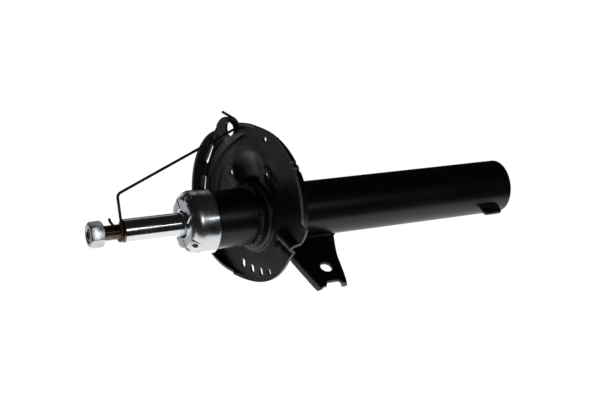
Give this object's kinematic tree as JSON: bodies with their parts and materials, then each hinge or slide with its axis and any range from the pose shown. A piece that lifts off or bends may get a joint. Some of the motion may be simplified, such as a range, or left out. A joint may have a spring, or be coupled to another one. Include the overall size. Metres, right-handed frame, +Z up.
{
  "type": "suspension strut",
  "caption": "Twin-tube suspension strut with a sliding chromed rod, slanted pressed spring seat, drop-link bracket, bump cap and a wire that holds the rod part-way in",
  "frame": {"origin": "On the axis of the damper tube, at the tube's lower end face, where the strut stands upright.", "axes": "+Z runs up the rod axis from the tube's foot to the nut. +X points to the side where the spring seat stands further out and carries the ear for the retaining wire. The drop-link bracket and the locating tab lie between -X and -Y, so that Y follows by the right-hand rule."},
  "size_m": [0.1816, 0.1628, 0.45],
  "materials": {
    "black_paint": "satin black coating",
    "weld_paint": "satin black coating over weld beads",
    "zinc_plate": "bright zinc plating",
    "drawn_steel": "bright drawn steel",
    "sintered_iron": "fine grained sintered iron",
    "bronze": "plain bronze",
    "seal_rubber": "matte",
    "spring_steel": "bright spring steel",
    "band_polymer": "filled low-friction polymer",
    "rod_chrome": "ground and hard chromed, with a dark threaded neck",
    "nut_zinc": "zinc plating",
    "bumper_polymer": "matte elastomer",
    "wire_steel": "dark oxidised wire"
  },
  "bodies": {
    "strut_body": {"reservoir_tube": "black_paint", "base_cap": "black_paint", "spring_seat": "black_paint", "seat_weld": "weld_paint", "link_bracket": "black_paint", "bracket_weld": "weld_paint", "locating_tab": "black_paint", "bump_cap": "zinc_plate", "pressure_tube": "drawn_steel", "rod_guide": "sintered_iron", "guide_bush": "bronze", "rod_seal": "seal_rubber", "seal_garter": "spring_steel", "seal_washer": "drawn_steel", "base_valve_body": "sintered_iron", "base_valve_discs": "spring_steel", "base_check_disc": "spring_steel", "base_check_spring": "spring_steel", "base_valve_pin": "drawn_steel"},
    "carrier": {"piston_band": "band_polymer"},
    "rod": {"piston_rod": "rod_chrome", "rod_nut": "nut_zinc", "rebound_stop": "drawn_steel", "rebound_bumper": "bumper_polymer", "piston": "sintered_iron", "rebound_discs": "spring_steel", "piston_check_disc": "spring_steel", "piston_check_spring": "spring_steel", "support_washer": "drawn_steel", "piston_nut": "drawn_steel"},
    "wire": {"retaining_wire": "wire_steel"}
  },
  "joints": [
    {"name": "rod_slide", "type": "slide", "parent": "strut_body", "child": "carrier", "axis": [0, 0, 1], "range_m": [-0.056, 0], "stiffness_N_per_m": 300, "springref_m": 0.5},
    {"name": "rod_spin", "type": "hinge", "parent": "carrier", "child": "rod", "pos_m": [0, 0, 0.42], "axis": [0, 0, 1], "continuous": true},
    {"name": "wire_tilt", "type": "hinge", "parent": "carrier", "child": "wire", "pos_m": [-0.00721, -0.00468, 0.4208], "axis": [0.5444, -0.8388, 0], "range_deg": [0, 11.67]}
  ],
  "couplings": [
    {"joint": "wire_tilt", "follows": "rod_slide", "rad_per_m": -3.6361}
  ]
}
